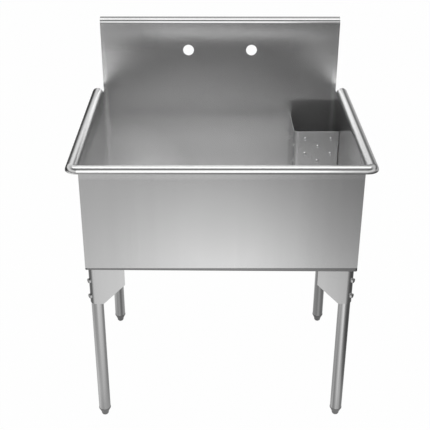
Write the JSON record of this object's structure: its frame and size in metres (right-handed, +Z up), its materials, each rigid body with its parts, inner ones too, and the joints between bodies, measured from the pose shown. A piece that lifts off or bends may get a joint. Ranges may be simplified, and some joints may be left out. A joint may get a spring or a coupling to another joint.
{
  "type": "utility laundry sink",
  "caption": "Free-standing sheet-steel laundry sink: a deep rolled-rim bowl with a tall splash back and tap holes, on tube legs with screw feet, with a perforated guard round the outlet.",
  "frame": {"origin": "on the ground under the middle of the bowl, which is the bottom centre of the overall box", "axes": "+X to the right of someone standing in front of the sink, +Y to the wall behind it, +Z up"},
  "size_m": [0.832, 0.702, 1.09],
  "materials": {
    "bowl_sheet": "satin brushed",
    "rim": "polished",
    "guard_sheet": "satin",
    "bracket": "satin",
    "leg_tube": "satin",
    "foot": "satin",
    "fastener": "bright",
    "outlet": "polished",
    "waste": "polished",
    "gasket": "matte",
    "fibre": "matte"
  },
  "bodies": {
    "sink": {"front_panel": "bowl_sheet", "back_panel": "bowl_sheet", "floor_pan": "bowl_sheet", "end_panel_left": "bowl_sheet", "end_panel_right": "bowl_sheet", "rim_corner_left": "rim", "rim_corner_right": "rim", "rim_cap_left": "rim", "rim_cap_right": "rim", "splash_cap_left": "rim", "splash_cap_right": "rim", "guard_guide_side": "guard_sheet", "guard_guide_rear": "guard_sheet", "outlet_body": "outlet", "outlet_gasket": "gasket", "tailpiece_washer": "gasket", "outlet_friction_ring": "fibre", "outlet_locknut": "waste", "slip_nut": "waste", "tailpiece": "waste", "leg_bolts": "fastener", "leg_washers": "fastener", "leg_nuts": "fastener", "bracket_front_left": "bracket", "leg_front_left": "leg_tube", "foot_insert_front_left": "foot", "bracket_front_right": "bracket", "leg_front_right": "leg_tube", "foot_insert_front_right": "foot", "bracket_rear_left": "bracket", "leg_rear_left": "leg_tube", "foot_insert_rear_left": "foot", "bracket_rear_right": "bracket", "leg_rear_right": "leg_tube", "foot_insert_rear_right": "foot"},
    "guard": {"corner_guard": "guard_sheet"},
    "strainer": {"strainer": "outlet", "strainer_knob": "outlet"},
    "foot_front_left": {"foot_front_left": "foot"},
    "foot_front_right": {"foot_front_right": "foot"},
    "foot_rear_left": {"foot_rear_left": "foot"},
    "foot_rear_right": {"foot_rear_right": "foot"}
  },
  "joints": [
    {"name": "guard_lift", "type": "slide", "parent": "sink", "child": "guard", "axis": [0, 0, 1], "range_m": [0, 0.34]},
    {"name": "strainer_lift", "type": "slide", "parent": "sink", "child": "strainer", "axis": [0, 0, 1], "range_m": [0, 0.37]},
    {"name": "foot_front_left_screw", "type": "slide", "parent": "sink", "child": "foot_front_left", "axis": [0, 0, -1], "range_m": [0, 0.02]},
    {"name": "foot_front_right_screw", "type": "slide", "parent": "sink", "child": "foot_front_right", "axis": [0, 0, -1], "range_m": [0, 0.02]},
    {"name": "foot_rear_left_screw", "type": "slide", "parent": "sink", "child": "foot_rear_left", "axis": [0, 0, -1], "range_m": [0, 0.02]},
    {"name": "foot_rear_right_screw", "type": "slide", "parent": "sink", "child": "foot_rear_right", "axis": [0, 0, -1], "range_m": [0, 0.02]}
  ]
}
